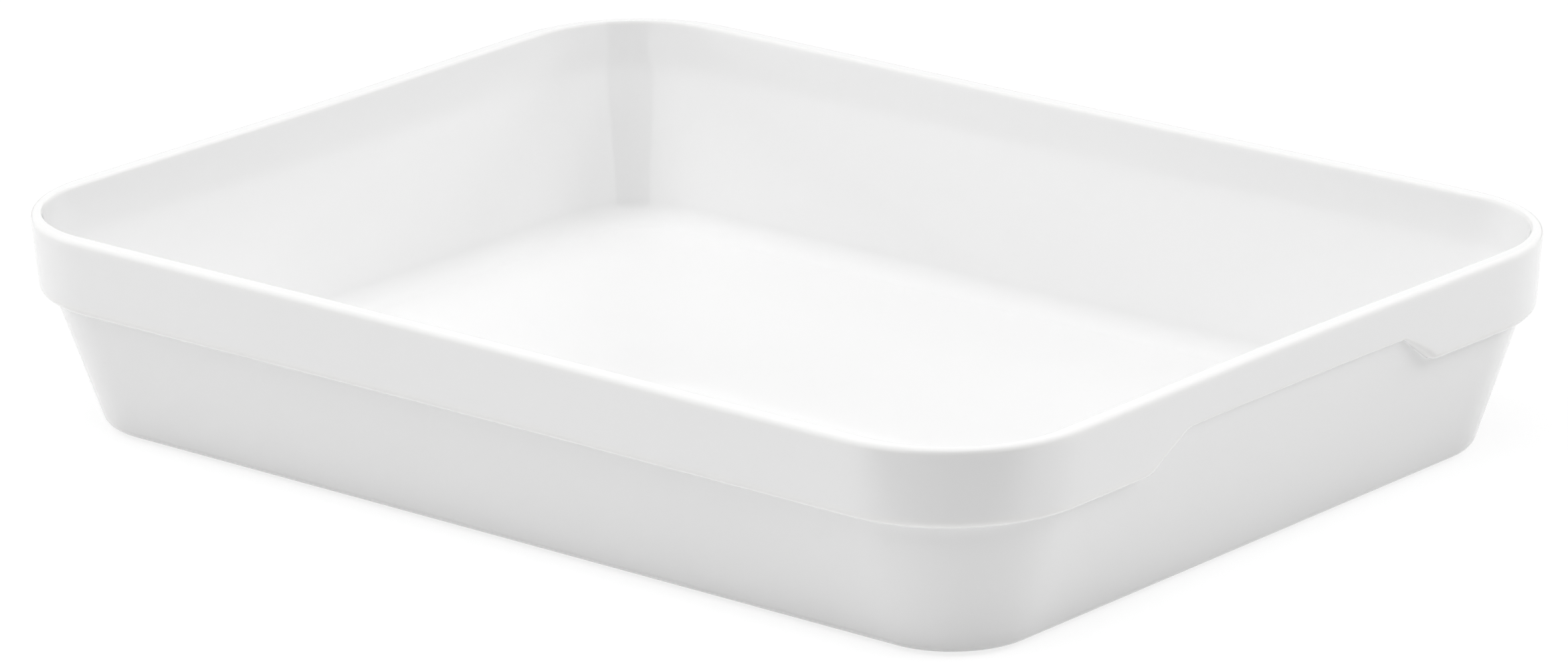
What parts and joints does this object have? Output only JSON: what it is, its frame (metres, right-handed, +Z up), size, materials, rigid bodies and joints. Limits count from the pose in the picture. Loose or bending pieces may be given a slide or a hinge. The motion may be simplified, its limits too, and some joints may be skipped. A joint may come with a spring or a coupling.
{
  "type": "baking dish",
  "caption": "Rectangular white porcelain baking dish with rounded corners, drafted walls under a plain collar, a finger recess at each short end and a bare foot ring.",
  "frame": {"origin": "under the middle of the dish, on the surface it stands on", "axes": "+Z up, X along the dish's long side from one finger recess to the other, Y across it"},
  "size_m": [0.34, 0.2564, 0.059],
  "materials": {
    "porcelain": "fired, unglazed and matte, seen only on the foot ring",
    "glaze": "clear glossy glaze over white porcelain"
  },
  "bodies": {
    "root": {"porcelain_body": "porcelain", "glaze_coat": "glaze", "base_glaze": "glaze"}
  },
  "joints": []
}
